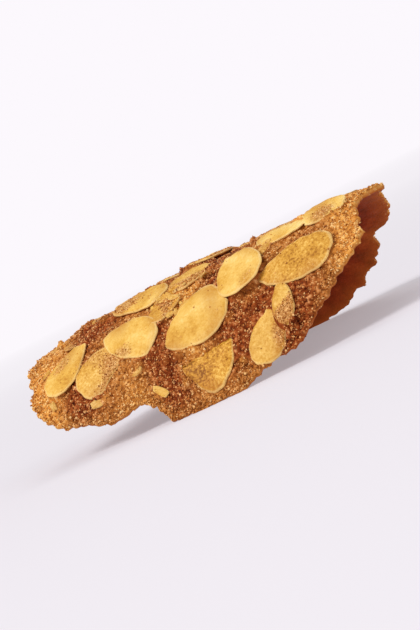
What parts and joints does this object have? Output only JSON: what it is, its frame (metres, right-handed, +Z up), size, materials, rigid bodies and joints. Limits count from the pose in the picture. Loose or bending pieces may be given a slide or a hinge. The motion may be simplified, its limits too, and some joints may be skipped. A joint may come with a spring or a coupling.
{
  "type": "almond tuile",
  "caption": "Thin crisp biscuit bent like a roof tile, with an uneven rim and toasted almond flakes baked into its outer face.",
  "frame": {"origin": "middle of the part's box, on the plane that its two long rims stand on", "axes": "+X along the ridge, +Z up out of the almond face at the ridge, -Y towards the front half"},
  "size_m": [0.0952, 0.0696, 0.0287],
  "materials": {
    "biscuit": "dry baked crust, granular golden to red-brown outside, darker and smoother inside",
    "almond": "toasted golden almond slices, satin, with paler rims"
  },
  "bodies": {
    "root": {"tuile": "biscuit"}
  },
  "joints": []
}
